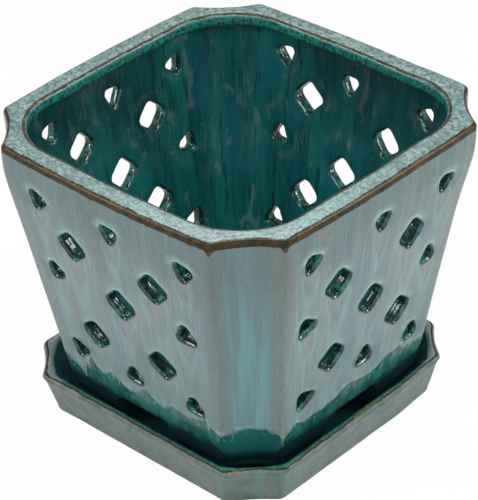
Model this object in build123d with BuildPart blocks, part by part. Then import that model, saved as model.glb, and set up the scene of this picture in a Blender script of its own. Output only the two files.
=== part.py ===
"""Square orchid pot with slotted walls, standing loose in its own saucer. Millimetres, +Z up."""

from build123d import *
from math import atan, cos, sin, sqrt
import os

os.makedirs("parts", exist_ok=True)

# Saucer
saucer_gap = 4.1  # from the pot, where its straight wall meets its foot, to the saucer's rim
saucer_rim_width = 4.7
saucer_height = 23.4
saucer_cut = 19.2  # corner cut, along each side
saucer_scoop = 1.5  # hollow of each cut corner
saucer_spread = 5.6  # of the straight wall, from its rounded bottom edge to the rim
saucer_edge_height = 5.0
saucer_edge_inset = 4.5
saucer_floor = 7.5
saucer_ear_round = 2.5
saucer_rim_ease = 0.9

# Dish of the saucer
dish_cut = 21.0
dish_corner_bulge = 2.0
dish_spread = 5.4  # from the floor's rounded edge to the rim
dish_edge_height = 4.0
dish_edge_inset = 3.0

# Pot, outside
pot_height = 146.9
rim_half = 87.0  # middle to a side, at the ears of the rim
rim_cut = 23.6  # corner cut, along each side
rim_band = 15.0  # upright band below the rim
rim_ease = 1.3
side_bow = 2.4  # outward bow of each side, at the rim
corner_scoop = 2.5
ear_round = 3.0
belly_half = 69.3  # where the straight wall meets the rounded foot
foot_edge_height = 24.5
foot_edge_inset = 8.8

# Pot, inside
wall = 7.0
rim_width = 9.5
mouth_corner = 36.0
mouth_bow = 0.9
lip_height = 6.0
lip_run_out = 4.0  # height over which the lip leans back to the wall
cavity_corner = 38.0  # corner radius under the lip
cavity_bow = 2.2
cavity_edge_height = 7.0
cavity_edge_inset = 6.0
pot_floor = 7.0

# Foot
foot_height = 19.5
foot_ring = 9.5
foot_hollow_corner = 22.0
foot_hollow_spread = 5.0  # by which the hollow under the floor widens upwards
notch_width = 36.0
notch_height = 18.5
notch_round = 6.0
drain_hole_diameter = 22.0

# Slots
large_slot_width = 19.5
large_slot_height = 18.5
large_slot_round = 3.4
small_slot_width = 14.0
small_slot_height = 13.2
small_slot_round = 1.9
small_slot_tip_share = 0.6  # of its height, from its middle to its tip
cutter_overrun = 4.0

# Heights and spreads along a rounded edge, from its narrow end to its wide end
edge_height_shares = (0.0, 0.12, 0.3, 0.6, 1.0)
edge_spread_shares = (0.0, 0.3, 0.56, 0.83, 1.0)

# Slots of one wall, row by row from the top: kind, and turn in degrees from tip down
slot_kinds = (
    ("small", -20), ("small", 0), ("small", -12),
    ("large", 0), ("large", 0),
    ("small", 85), ("large", 0), ("small", 180),
    ("large", 0), ("large", 0),
    ("small", 100), ("small", 180), ("small", 180),
)

# Their places, cut by hand on each wall and seen from outside: across as a share of the side's
# flat half at the rim, and up as a share of the height from the rounded foot to the rim
slot_place_shares = {
    "right_front": (
        (-0.73, 0.83), (0.00, 0.83), (0.70, 0.82),
        (-0.41, 0.65), (0.38, 0.66),
        (-0.69, 0.51), (0.00, 0.46), (0.65, 0.49),
        (-0.36, 0.28), (0.37, 0.29),
        (-0.58, 0.14), (0.04, 0.17), (0.60, 0.12),
    ),
    "right_back": (
        (-0.74, 0.83), (0.02, 0.83), (0.64, 0.85),
        (-0.41, 0.66), (0.39, 0.70),
        (-0.66, 0.49), (0.00, 0.45), (0.63, 0.51),
        (-0.35, 0.28), (0.34, 0.29),
        (-0.58, 0.13), (0.02, 0.15), (0.60, 0.15),
    ),
    "left_back": (
        (-0.66, 0.83), (-0.02, 0.83), (0.68, 0.83),
        (-0.36, 0.66), (0.39, 0.69),
        (-0.64, 0.48), (0.01, 0.49), (0.66, 0.49),
        (-0.28, 0.30), (0.35, 0.28),
        (-0.58, 0.15), (0.00, 0.14), (0.58, 0.13),
    ),
    "left_front": (
        (-0.67, 0.83), (0.06, 0.84), (0.74, 0.81),
        (-0.39, 0.67), (0.40, 0.66),
        (-0.65, 0.49), (0.02, 0.49), (0.66, 0.49),
        (-0.34, 0.25), (0.33, 0.27),
        (-0.57, 0.11), (0.00, 0.12), (0.58, 0.13),
    ),
}
wall_turns = {"right_front": 0, "right_back": 90, "left_back": 180, "left_front": 270}

# Levels and sizes that follow
foot_level = saucer_floor
rim_level = foot_level + pot_height
mouth_half = rim_half - rim_width
belly_level = foot_level + foot_edge_height
band_level = rim_level - rim_band
wall_rise = band_level - belly_level
slot_field_rise = rim_level - belly_level
wall_lean = atan((rim_half - belly_half) / wall_rise)
lip_level = rim_level - lip_height
under_lip_level = lip_level - lip_run_out
underside_level = foot_level + foot_height
floor_level = underside_level + pot_floor
cavity_edge_level = floor_level + cavity_edge_height
foot_hollow_half = belly_half - foot_edge_inset - foot_ring
saucer_eased_level = saucer_height - saucer_rim_ease
dish_half = belly_half + saucer_gap
dish_floor_half = dish_half - dish_spread
saucer_half = dish_half + saucer_rim_width
saucer_base_half = saucer_half - saucer_spread
dish_edge_level = saucer_floor + dish_edge_height
flat_half = rim_half - rim_cut
slot_cutter_offset = side_bow + cutter_overrun  # outside the wall's flat
slot_cutter_length = slot_cutter_offset + wall + cutter_overrun


def cut_square(level, half, cut, bow, scoop, ease=0):
    """Square outline with bowed sides. Its cut corners are scooped, or rounded if scoop is negative."""
    flat = half - cut
    corner = half - cut / 2 - scoop / sqrt(2)
    places = ((-flat, -half), (0, -half - bow), (flat, -half), (corner, -corner), (half, -flat))
    with BuildSketch(Plane.XY.offset(level)) as outline:
        with BuildLine():
            for quarter in range(4):
                start, side, end, corner_middle, next_start = (
                    Vector(*place).rotate(Axis.Z, 90 * quarter) for place in places
                )
                if bow:
                    ThreePointArc(start, side, end)
                else:
                    Line(start, end)
                ThreePointArc(end, corner_middle, next_start)
        make_face()
        if ease:
            fillet(outline.vertices(), radius=ease)
    return outline.sketch


def rounded_square(level, half, corner_radius, bow):
    """Square outline with bowed sides and round corners."""
    return cut_square(level, half, corner_radius, bow, corner_radius * (1 / sqrt(2) - 1))


def rounded_edge(narrow_level, wide_level, wide_half, inset):
    """Levels and half widths along a rounded edge, from its narrow end to its wide end."""
    return [
        (narrow_level + height * (wide_level - narrow_level), wide_half - (1 - spread) * inset)
        for height, spread in zip(edge_height_shares, edge_spread_shares)
    ]


def pot_outline(level, half):
    """Outer outline of the pot. Its corners and bows shrink with it towards the foot."""
    share = half / rim_half
    return cut_square(level, half, rim_cut * share, side_bow * share, corner_scoop * share, ear_round)


def cavity_outline(level, half):
    """Inner outline of the pot under its lip."""
    share = half / (rim_half - wall)
    return rounded_square(level, half, cavity_corner * share, cavity_bow * share)


def mouth_outline(level, half):
    """Outline of the pot's mouth, inside the lip."""
    return rounded_square(level, half, mouth_corner, mouth_bow)


def saucer_outline(level, half):
    """Outer outline of the saucer."""
    share = half / saucer_half
    return cut_square(level, half, saucer_cut * share, 0, saucer_scoop * share, saucer_ear_round)


def dish_outline(level, half):
    """Inner outline of the saucer."""
    share = half / dish_half
    return cut_square(level, half, dish_cut * share, 0, -dish_corner_bulge * share)


def half_on_wall(level):
    """Outer half width of the pot's straight wall."""
    return belly_half + (rim_half - belly_half) * (level - belly_level) / wall_rise


def wall_plane(turn, offset):
    """Plane along one wall as seen from outside, with its origin where the wall meets the foot."""
    across = Vector(0, 1, 0).rotate(Axis.Z, turn)
    outward = Vector(cos(wall_lean), 0, -sin(wall_lean)).rotate(Axis.Z, turn)
    origin = Vector(belly_half, 0, belly_level).rotate(Axis.Z, turn)
    return Plane(origin=origin + outward * offset, x_dir=across, z_dir=outward)


def slots_of(wall_name, kind, tips, radius):
    """Sketch of one wall's slots of one kind, just outside the wall."""
    with BuildSketch(wall_plane(wall_turns[wall_name], slot_cutter_offset)) as slots:
        for (slot_kind, turn), (across, up) in zip(slot_kinds, slot_place_shares[wall_name]):
            if slot_kind == kind:
                with Locations((across * flat_half, up * slot_field_rise / cos(wall_lean))):
                    Polygon(*tips, rotation=turn)
        fillet(slots.vertices(), radius=radius)
    return slots.sketch


large_tips = (
    (-large_slot_width / 2, 0),
    (0, -large_slot_height / 2),
    (large_slot_width / 2, 0),
    (0, large_slot_height / 2),
)
small_tips = (
    (-small_slot_width / 2, (1 - small_slot_tip_share) * small_slot_height),
    (0, -small_slot_tip_share * small_slot_height),
    (small_slot_width / 2, (1 - small_slot_tip_share) * small_slot_height),
)

# Pot: outer body, then its hollows
with BuildPart() as pot:
    loft(
        sections=[
            pot_outline(level, half)
            for level, half in (
                *rounded_edge(foot_level, belly_level, belly_half, foot_edge_inset),
                (band_level, rim_half),
                (rim_level - rim_ease, rim_half),
                (rim_level, rim_half - rim_ease),
            )
        ],
        ruled=True,
    )
    cavity_edge_half = half_on_wall(cavity_edge_level) - wall
    cavity_levels = (
        *rounded_edge(floor_level, cavity_edge_level, cavity_edge_half, cavity_edge_inset),
        (band_level, rim_half - wall),
        (under_lip_level, rim_half - wall),
    )
    loft(
        sections=[cavity_outline(level, half) for level, half in cavity_levels]
        + [
            mouth_outline(lip_level, mouth_half),
            mouth_outline(rim_level - rim_ease, mouth_half),
            mouth_outline(rim_level, mouth_half + rim_ease),
        ],
        ruled=True,
        mode=Mode.SUBTRACT,
    )
    # Hollow under the floor, open at a notch in the middle of each side
    loft(
        sections=[
            rounded_square(foot_level, foot_hollow_half, foot_hollow_corner, cavity_bow),
            rounded_square(
                underside_level, foot_hollow_half + foot_hollow_spread, foot_hollow_corner, cavity_bow
            ),
        ],
        ruled=True,
        mode=Mode.SUBTRACT,
    )
    for notch_plane in (Plane.XZ, Plane.YZ):
        with BuildSketch(notch_plane) as notch:
            with Locations((0, foot_level)):
                Rectangle(notch_width, 2 * notch_height)
            fillet(notch.vertices(), radius=notch_round)
        extrude(amount=rim_half, both=True, mode=Mode.SUBTRACT)
    with Locations((0, 0, floor_level)):
        Hole(radius=drain_hole_diameter / 2, depth=pot_floor)
    for wall_name in wall_turns:
        for kind, tips, radius in (
            ("large", large_tips, large_slot_round),
            ("small", small_tips, small_slot_round),
        ):
            slots = slots_of(wall_name, kind, tips, radius)
            extrude(slots, amount=-slot_cutter_length, mode=Mode.SUBTRACT)
pot.part.label = "pot"
export_step(pot.part, "parts/pot.step")

# Saucer: outer body, then its dish
with BuildPart() as saucer:
    loft(
        sections=[
            saucer_outline(level, half)
            for level, half in (
                *rounded_edge(0, saucer_edge_height, saucer_base_half, saucer_edge_inset),
                (saucer_eased_level, saucer_half),
                (saucer_height, saucer_half - saucer_rim_ease),
            )
        ],
        ruled=True,
    )
    loft(
        sections=[
            dish_outline(level, half)
            for level, half in (
                *rounded_edge(saucer_floor, dish_edge_level, dish_floor_half, dish_edge_inset),
                (saucer_eased_level, dish_half),
                (saucer_height, dish_half + saucer_rim_ease),
            )
        ],
        ruled=True,
        mode=Mode.SUBTRACT,
    )
saucer.part.label = "saucer"
export_step(saucer.part, "parts/saucer.step")
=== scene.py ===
"""Looks of the square orchid pot and its saucer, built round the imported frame. Sizes are in millimetres."""

from math import atan, cos, pi, radians, sin, sqrt, tan

import bmesh
import bpy
import numpy as np
from mathutils import Matrix, Vector, geometry, noise


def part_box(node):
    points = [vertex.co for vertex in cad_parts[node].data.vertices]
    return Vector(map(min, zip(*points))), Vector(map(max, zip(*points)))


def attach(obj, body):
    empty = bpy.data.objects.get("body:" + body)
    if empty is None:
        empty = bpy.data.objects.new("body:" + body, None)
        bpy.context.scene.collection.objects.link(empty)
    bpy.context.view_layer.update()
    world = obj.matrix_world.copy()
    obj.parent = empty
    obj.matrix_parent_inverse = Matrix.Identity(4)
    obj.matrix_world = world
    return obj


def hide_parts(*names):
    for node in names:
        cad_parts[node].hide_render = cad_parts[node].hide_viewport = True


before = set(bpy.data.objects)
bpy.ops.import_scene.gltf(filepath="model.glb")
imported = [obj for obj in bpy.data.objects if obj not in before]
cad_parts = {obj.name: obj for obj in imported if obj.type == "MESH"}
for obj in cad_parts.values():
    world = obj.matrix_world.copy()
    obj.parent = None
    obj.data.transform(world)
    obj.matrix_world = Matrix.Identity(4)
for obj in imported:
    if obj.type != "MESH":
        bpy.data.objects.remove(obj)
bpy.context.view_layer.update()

metres = 0.001

# Levels and widths read from the frame
pot_low, pot_high = (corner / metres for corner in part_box("pot"))
saucer_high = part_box("saucer")[1] / metres
side_bow = 2.4
foot_level = pot_low.z
rim_level = pot_high.z
rim_half = pot_high.x - side_bow
saucer_half = saucer_high.x
saucer_height = saucer_high.z

# Pot, outside
rim_cut = 23.6
corner_scoop = 2.5
ear_round = 4.5
rim_band = 15.0
rim_edge_round = 2.8
rim_crown = 0.35
belly_half = 69.3
foot_edge_height = 24.5
foot_curl = 4.76  # by which the foot turns in under the wall's line
foot_curl_power = 4.5
band_blend = 0.7

# Pot, inside
wall = 7.0
rim_width = 9.5
mouth_corner = 36.0
mouth_bow = 0.9
mouth_edge_round = 1.5
cavity_corner = 38.0
cavity_bow = 2.2
floor_round = 4.2
pot_floor = 7.0

# Foot
foot_height = 19.5
foot_hollow_half = 51.0
foot_hollow_corner = 22.0
foot_hollow_spread = 5.0
notch_half = 18.0
notch_height = 18.5
notch_round = 7.0
notch_foot_round = 2.0
foot_outer_round = 2.2
foot_inner_round = 1.5
drain_radius = 11.0
drain_round = 1.3
hollow_round = 0.7

# Slots
reveal_power = 4.0
reveal_rows = 7
dimple_moves = {"outer": -0.7, "inner": 0.5}  # outwards, at a slot's edge on each face of the wall
dimple_reach = 3.0
dimple_fade = 1.5
ring_offsets = (0, 0.9, 2.1)  # rings of points round a slot
ring_margin = 0.4
large_tips = ((-9.75, 0), (0, -9.25), (9.75, 0), (0, 9.25))
small_tips = ((-7.0, 5.28), (0, -7.92), (7.0, 5.28))
# Of each kind: its tips, their radius and its reach from the middle
slot_shapes = {"large": (large_tips, 3.6, 8.5), "small": (small_tips, 2.6, 6.0)}
# By how much each is wider than the CAD part's: at the outer face, half way in, and at the inner face
slot_widths = {"large": (0.7, -0.5, 0.7), "small": (0.7, -0.8, 0.2)}
slot_size_spread = 0.035
slot_turn_spread = 4
slot_radius_spread = 0.12
slot_seed = 11
rise_limit = 1.5
# Smears of glaze below the slots, as shares of a slot's reach
smear_narrowness = 1.45
smear_start = 0.4
smear_fade = 1.6
smear_blend = 4

# Saucer
saucer_cut = 19.2
saucer_scoop = 1.5
saucer_ear_round = 5.5
saucer_base_half = 73.3
saucer_edge_height = 3.8
saucer_edge_inset = 3.4
saucer_edge_power = 0.9
saucer_floor = 7.5
saucer_rim_width = 4.9
saucer_rim_round = 2.3
dish_cut = 21.0
dish_corner_bulge = 2.0
dish_floor_half = 68.0
dish_floor_round = 3.5
dish_edge_height = 4.0
dish_low = 11.0
dish_rise = 10.0

# Warp of the fired clay: corner as signs of x and y, move outwards along its diagonal, how far in from
# the corner it starts and the levels over which it grows
pot_warps = (((1, 1), 2.2, 30.0, 100.0, 150.0), ((-1, -1), 0.5, 30.0, 100.0, 150.0))
saucer_warps = (((1, 1), -2.6, 26.0, -20.0, 0.0), ((-1, -1), 0.6, 20.0, -20.0, 0.0))

# Slots of one wall, row by row from the top: kind, and turn in degrees from tip down
slot_kinds = (
    ("small", -20), ("small", 0), ("small", -12),
    ("large", 0), ("large", 0),
    ("small", 85), ("large", 0), ("small", 180),
    ("large", 0), ("large", 0),
    ("small", 100), ("small", 180), ("small", 180),
)

# Their places on each wall, seen from outside, within 2.5 mm of the CAD part's: across as a share of the
# side's flat half at the rim, and up as a share of the height from the rounded foot to the rim
slot_place_shares = {
    "right_front": (
        (-0.73, 0.82), (-0.01, 0.82), (0.685, 0.805),
        (-0.41, 0.65), (0.38, 0.66),
        (-0.675, 0.52), (0.00, 0.46), (0.65, 0.485),
        (-0.36, 0.28), (0.37, 0.29),
        (-0.58, 0.14), (0.04, 0.17), (0.60, 0.12),
    ),
    "right_back": (
        (-0.74, 0.815), (0.02, 0.81), (0.64, 0.835),
        (-0.39, 0.65), (0.39, 0.70),
        (-0.66, 0.49), (0.015, 0.44), (0.63, 0.51),
        (-0.35, 0.28), (0.34, 0.29),
        (-0.58, 0.13), (0.02, 0.15), (0.60, 0.15),
    ),
    "left_back": (
        (-0.66, 0.815), (-0.02, 0.81), (0.66, 0.81),
        (-0.36, 0.66), (0.39, 0.69),
        (-0.64, 0.48), (0.01, 0.49), (0.66, 0.49),
        (-0.28, 0.30), (0.35, 0.28),
        (-0.58, 0.15), (0.00, 0.14), (0.58, 0.13),
    ),
    "left_front": (
        (-0.67, 0.817), (0.06, 0.83), (0.735, 0.81),
        (-0.39, 0.67), (0.40, 0.66),
        (-0.63, 0.488), (0.02, 0.49), (0.64, 0.50),
        (-0.34, 0.25), (0.33, 0.27),
        (-0.57, 0.11), (0.00, 0.135), (0.58, 0.13),
    ),
}
wall_names = ("right_front", "right_back", "left_back", "left_front")

# Height of the pale glaze's lower edge along each wall: (across at the rim, level)
pale_edges = {
    "right_front": (
        (-75, 38.8), (-69, 37.8), (-65, 35.9), (-62, 31.5), (-58, 33.3), (-53, 37.1), (-45, 35),
        (-35, 36.1), (-26, 36.5), (-18, 38), (-10, 41), (-3, 40), (6, 38.4), (16, 38.2),
        (24, 41.1), (36, 40.9), (44, 37.8), (58, 36.5), (75, 38),
    ),
    "right_back": (
        (-75, 38), (-60, 34), (-50, 31), (-40, 38), (-28, 39), (-14, 34), (-4, 41), (8, 38),
        (20, 32), (32, 36), (44, 40), (54, 34), (64, 33), (75, 37),
    ),
    "left_back": (
        (-75, 37), (-64, 32), (-52, 38), (-42, 40), (-30, 32), (-20, 36), (-8, 42), (4, 36),
        (14, 31), (26, 38), (38, 40), (50, 33), (62, 36), (75, 38),
    ),
    "left_front": (
        (-75, 38), (-62, 36.1), (-54, 33), (-46, 30.1), (-42.5, 39), (-37, 43.1), (-33, 39.6),
        (-29, 37.4), (-20, 40.8), (-15, 39.6), (-8, 36.5), (-2, 36.7), (7, 42.6), (10.5, 40.2),
        (16, 37.4), (20, 36.6), (29, 40.4), (38, 39.3), (48, 40.3), (51.5, 44), (55, 38.8),
        (62, 35.2), (65, 36.2), (70, 38.2), (75, 38.8),
    ),
}

# Mesh density
side_steps = 38
ear_steps = 5
scoop_steps = 10
half_steps = side_steps + ear_steps + scoop_steps
grids = {"outer": 1.75, "inner": 2.1}
floor_grid = 5.0
# Levels between which the sheets with the slots lie
seams = {"outer": (36.0, 145.0), "inner": (38.4, 145.2)}
seam_rows = 50
arc_points = 5
edge_points = 3
merge_distance = 0.008

# Rows of the mesh: levels, shares of the way, or places as (outwards or in, level or drop, profile)
foot_wall_shares = (0, 0.05, 0.11, 0.19, 0.28, 0.38, 0.5, 0.62, 0.75, 0.88, 1)
foot_face_shares = (0.35, 0.65)
hollow_shares = (0, 0.25, 0.5, 0.75, 1)
hollow_round_rows = ((0.25, 0.2), (0.7, 0.0))
drain_points = 64
drain_ring_spreads = (1, 1.15, 1.4)
drain_clear_spread = 1.6
rim_wall_levels = (147.2, 149.2, 150.8)
rim_top_shares = (0.12, 0.28, 0.45, 0.62, 0.8, 0.93)
lip_rows = ((-0.15, 151.2), (-0.2, 149.8), (0.0, 148.9), (0.45, 148.3), (1.1, 148.0))
lip_step_share = 0.75
lip_step_level = 147.5
lip_step_profile = rim_width + 7
under_lip_levels = (146.6, 146.0)
under_lip_profile = rim_width + 8
saucer_base_rows = ((-7, 0.9), (-5.6, 0.7), (-4.6, 0.15), (-3.8, 0.0), (-1.0, 0.0))
saucer_wall_levels = (7.0, 10.5, 14.0, 17.0, 18.6)
saucer_top_rows = ((0.3, 0.235), (0.65, 0.3925))
saucer_mouth_rows = ((0.9, 0.75, 2.6), (0.35, 1.4, 3.4), (0.0, 2.4, 4.4))
dish_wall_levels = (18.0, 15.0, 13.0)

# Profile values of the parts that a wall's height doesn't tell apart
foot_start = -150
floor_start = 115
foot_face_zone = -200.0
hollow_edge_zone = -210.0
hollow_zone = -240.0
underside_zones = (-245.0, -250.0)
floor_zone = 125.0
drain_zone = 120.0
saucer_base_zones = (-60.0, -80.0)
dish_zones = (20.0, 40.0)

# Unevenness of the surface: height, width, length and seed of each kind of swell
pot_swells = ((0.28, 26, 34, 1), (0.1, 7, 22, 2))
outer_swells = ((0.12, 4, 40, 3),)
inner_swells = ((0.3, 9, 20, 4), (0.1, 4, 9, 7))
saucer_swells = ((0.22, 22, 22, 5), (0.08, 6, 9, 6))
# Rolls of glaze: height, distance over the pale glaze's edge and half width
glaze_roll = (0.25, 1.5, 2.2)
corner_roll = (0.8, -3.5, 1.7)
corner_roll_start = 60
corner_roll_grain = (6, 60, 8)
outer_relief_start = 4
inner_relief_start = 8
relief_blend = 6
rim_stillness = 0.8  # share by which the rim's top is kept even

# Gloss, floor, camera and light
glaze_ior = 1.55
floor_grey = 0.7
floor_half = 4.0
seen_white_share = 0.95
room_light = 0.3
camera_lens = 179.701
camera_place = (671.766, -708.098, 732.402)
camera_aim = (-1.401, 0.54, 79.023)
camera_roll = -1.9642
lamp_distance = 1.4
lamp_aim = (0, 0, 0.08)
# Soft boxes round the pot: name, azimuth (0 looks along +Y), elevation, width, height, radiance
soft_boxes = (
    ("left_strip", -40, 30, 0.34, 0.8, 10.4),
    ("right_strip", 130, 30, 0.34, 0.8, 13.5),
    ("front_box", 43, 24, 1.2, 0.9, 1.2),
    ("top_box", 43, 70, 0.8, 0.45, 8.0),
    ("back_box", 223, 55, 0.5, 0.3, 4.0),
)

# Levels that follow
belly_level = foot_level + foot_edge_height
band_level = rim_level - rim_band
wall_lean = (rim_half - belly_half) / (band_level - belly_level)
lean_angle = atan(wall_lean)
slot_field_rise = rim_level - belly_level
mouth_half = rim_half - rim_width
underside_level = foot_level + foot_height
floor_level = underside_level + pot_floor
flat_half = rim_half - rim_cut
cavity_half = rim_half - wall


def smooth(value):
    """Smooth step of a value from 0 to 1."""
    t = np.clip(value, 0, 1)
    return t * t * (3 - 2 * t)


def ease_corner(points, corner, radius):
    """Polyline whose sharp corner, at that index, becomes a smooth bend."""
    before, at, after = points[:corner], points[corner], points[corner + 1 :]
    into = at - before[-1]
    out = after[0] - at
    turn = abs(np.arctan2(into[0] * out[1] - into[1] * out[0], into @ out))
    reach = radius * tan(turn / 2)
    before = before[np.linalg.norm(before - at, axis=1) > reach]
    after = after[np.linalg.norm(after - at, axis=1) > reach]
    start = at - into / np.linalg.norm(into) * reach
    end = at + out / np.linalg.norm(out) * reach
    t = np.linspace(0, 1, 12)[:, None]
    bend = (1 - t) ** 2 * start + 2 * t * (1 - t) * at + t**2 * end
    return np.vstack((before, bend, after)), start, end


class Outline:
    """Half a side of an outline, from mid-side to the corner's middle, as (across, outward)."""

    def __init__(self, points):
        self.points = points
        self.run = np.concatenate(([0], np.cumsum(np.linalg.norm(np.diff(points, axis=0), axis=1))))
        self.length = self.run[-1]

    def at(self, run):
        """Points at distances along the outline, mirrored for distances below zero."""
        u = np.interp(np.abs(run), self.run, self.points[:, 0]) * np.sign(run)
        w = np.interp(np.abs(run), self.run, self.points[:, 1])
        return u, w

    def run_at(self, u):
        """Distance along the outline at which it lies across by u."""
        return np.interp(np.abs(u), self.points[:, 0], self.run) * np.sign(u)


class CutOutline(Outline):
    """Outline of a square with scooped corners."""

    def __init__(self, half, cut, bow, scoop, ear):
        flat = half - cut
        u = np.linspace(0, flat, 200)
        side = np.column_stack((u, half + bow * (1 - (u / flat) ** 2)))
        t = np.linspace(0, 0.5, 60)[1:, None]
        ear_point = np.array((flat, half))
        corner = ear_point + t * np.array((cut, -cut)) - scoop * 4 * t * (1 - t) / sqrt(2)
        points, *bend = ease_corner(np.vstack((side, corner)), len(side) - 1, ear)
        super().__init__(points)
        first, last = (self.run[np.argmin(np.linalg.norm(points - place, axis=1))] for place in bend)
        side_runs = np.linspace(0, first, side_steps + 1)[:-1]
        ear_runs = np.linspace(first, last, ear_steps + 1)[:-1]
        scoop_runs = np.linspace(last, self.length, scoop_steps + 1)
        self.shares = np.concatenate((side_runs, ear_runs, scoop_runs)) / self.length


class RoundOutline(Outline):
    """Outline of a square with round corners."""

    def __init__(self, half, corner, bow):
        flat = half - corner
        u = np.linspace(0, flat, 200)
        side = np.column_stack((u, half + bow * np.cos(pi / 2 * u / flat) ** 2))
        a = np.linspace(0, pi / 4, 60)[1:]
        bend = np.column_stack((flat + corner * np.sin(a), flat + corner * np.cos(a)))
        super().__init__(np.vstack((side, bend)))


def wall_line(level):
    """Half width of the pot's outer wall, upright above the band's level."""
    x = (level - band_level) * wall_lean
    return rim_half + (x - np.sqrt(x * x + band_blend**2)) / 2


def outer_share(level):
    """Size of the outer outline at a level, as a share of the one at the rim."""
    foot = np.clip((level - foot_level) / foot_edge_height, 0, 1)
    return (wall_line(level) - foot_curl * (1 - foot) ** foot_curl_power) / rim_half


def inner_share(level):
    """Size of the cavity's outline at a level, as a share of the one under the lip."""
    return (wall_line(level) - wall) / cavity_half


def hollow_share(level):
    """Size of the outline of the hollow under the floor at a level."""
    return 1 + foot_hollow_spread / foot_hollow_half * (level - foot_level) / foot_height


def turned(side, u, w, z):
    """Points of one side, from (across, outward, level) to the part's frame."""
    turn = pi / 2 * side
    x = w * cos(turn) - u * sin(turn)
    y = w * sin(turn) + u * cos(turn)
    return np.column_stack((x, y, np.broadcast_to(z, np.shape(x))))


def whole_row(run, level, place, **values):
    """A row right round a form, from one half side's runs and levels."""
    run = np.concatenate((-run[:0:-1], run[:-1]))
    if np.ndim(level):
        level = np.concatenate((level[:0:-1], level[:-1]))
    u, w, z = place(run, level)
    points = np.vstack([turned(side, u, w, z) for side in range(4)])
    u, w = pot_outline.at(run * (pot_outline.length / np.abs(run).max()))
    flow = np.vstack([turned(side, u, w, 0.0) for side in range(4)])
    flow[:, 2] = points[:, 2]
    return {"points": points, "flow": flow, **values}


class Shell:
    """One face of a hollow form: its outline, and that outline's size at each level, as a share."""

    def __init__(self, outline, share_at, shares):
        self.outline = outline
        self.share_at = share_at
        self.run = shares * outline.length

    def place(self, run, level):
        """Place on the face, as (across, outward, level)."""
        u, w = self.outline.at(run)
        share = self.share_at(level)
        return u * share, w * share, level

    def run_at(self, u, level):
        """Distance along the outline at which the face lies across by u."""
        return self.outline.run_at(u / self.share_at(level))

    def row(self, level, run=None, **values):
        """A row right round the face."""
        return whole_row(self.run if run is None else run, level, self.place, **values)


def level_row(outline, shares, scale, level, profile):
    """A level row round an outline that is drawn in or out."""
    return Shell(outline, lambda _: scale, shares).row(level, profile=profile)


pot_outline = CutOutline(rim_half, rim_cut, side_bow, corner_scoop, ear_round)
cavity_outline = RoundOutline(cavity_half, cavity_corner, cavity_bow)
mouth_outline = RoundOutline(mouth_half, mouth_corner, mouth_bow)
hollow_outline = RoundOutline(foot_hollow_half, foot_hollow_corner, cavity_bow)
outer_shell = Shell(pot_outline, outer_share, pot_outline.shares)
inner_shell = Shell(cavity_outline, inner_share, pot_outline.shares)
hollow_shell = Shell(hollow_outline, hollow_share, pot_outline.shares)
wall_shells = {"outer": outer_shell, "inner": inner_shell}


class Slot:
    """One slot: its contour, with a direction outwards at each point, and its place on both faces."""

    def __init__(self, kind, turn, across, up, hand):
        tips, radius, self.reach = slot_shapes[kind]
        outer_width, self.middle_width, inner_width = slot_widths[kind]
        size = 1 + slot_size_spread * hand.uniform(-1, 1)
        turn = radians(turn + slot_turn_spread * hand.uniform(-1, 1))
        spin = np.array(((cos(turn), sin(turn)), (-sin(turn), cos(turn))))
        self.radius = radius * (1 + slot_radius_spread * hand.uniform(-1, 1))
        self.core = self.inset(np.array(tips) * size @ spin, self.radius)
        self.contour_base, self.contour_out = self.trace()
        self.u = across * flat_half
        bow = 1 - (self.u / flat_half) ** 2
        level = belly_level + up * slot_field_rise
        share = wall_line(level) / rim_half
        self.widths = {"outer": outer_width, "inner": inner_width}
        self.levels = {
            "outer": level - side_bow * share * bow * sin(lean_angle),
            "inner": level + (wall - cavity_bow * share * bow) * sin(lean_angle),
        }

    @staticmethod
    def inset(tips, radius):
        """Corners of the polygon moved in by the radius."""
        following = np.roll(tips, -1, axis=0)
        along = following - tips
        along /= np.linalg.norm(along, axis=1)[:, None]
        inward = np.column_stack((-along[:, 1], along[:, 0]))
        starts = tips + inward * radius
        corners = []
        for k in range(len(tips)):
            a, d = starts[k - 1], along[k - 1]
            b, e = starts[k], along[k]
            t = ((b[0] - a[0]) * e[1] - (b[1] - a[1]) * e[0]) / (d[0] * e[1] - d[1] * e[0])
            corners.append(a + d * t)
        return np.array(corners)

    def trace(self):
        """Points on the inset polygon, and the direction from each to the rounded contour."""
        base, out = [], []
        count = len(self.core)
        for k in range(count):
            before = self.core[k] - self.core[k - 1]
            after = self.core[(k + 1) % count] - self.core[k]
            first = np.arctan2(-before[0], before[1])
            last = np.arctan2(-after[0], after[1])
            span = (last - first) % (2 * pi)
            for j in range(arc_points):
                a = first + span * j / (arc_points - 1)
                base.append(self.core[k])
                out.append((cos(a), sin(a)))
            for j in range(1, edge_points):
                base.append(self.core[k] + after * j / edge_points)
                out.append((cos(last), sin(last)))
        return np.array(base), np.array(out)

    def contour(self, offset, face):
        """The contour on one face of the wall, moved outwards by offset, as (across, level)."""
        flat = self.contour_base + (self.radius + offset) * self.contour_out
        return self.u + flat[:, 0], self.levels[face] + flat[:, 1] * cos(lean_angle)

    def gap(self, u, z, face):
        """Distance from points to the slot's edge on one face of the wall, below zero inside it."""
        point = np.column_stack((u - self.u, (z - self.levels[face]) / cos(lean_angle)))
        nearest = np.full(len(point), np.inf)
        inside = np.ones(len(point), bool)
        for a, b in zip(self.core, np.roll(self.core, -1, axis=0)):
            edge = b - a
            t = np.clip((point - a) @ edge / (edge @ edge), 0, 1)
            nearest = np.minimum(nearest, np.linalg.norm(point - a - t[:, None] * edge, axis=1))
            inside &= edge[0] * (point[:, 1] - a[1]) - edge[1] * (point[:, 0] - a[0]) > 0
        return np.where(inside, -nearest, nearest) - self.radius - self.widths[face]


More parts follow.
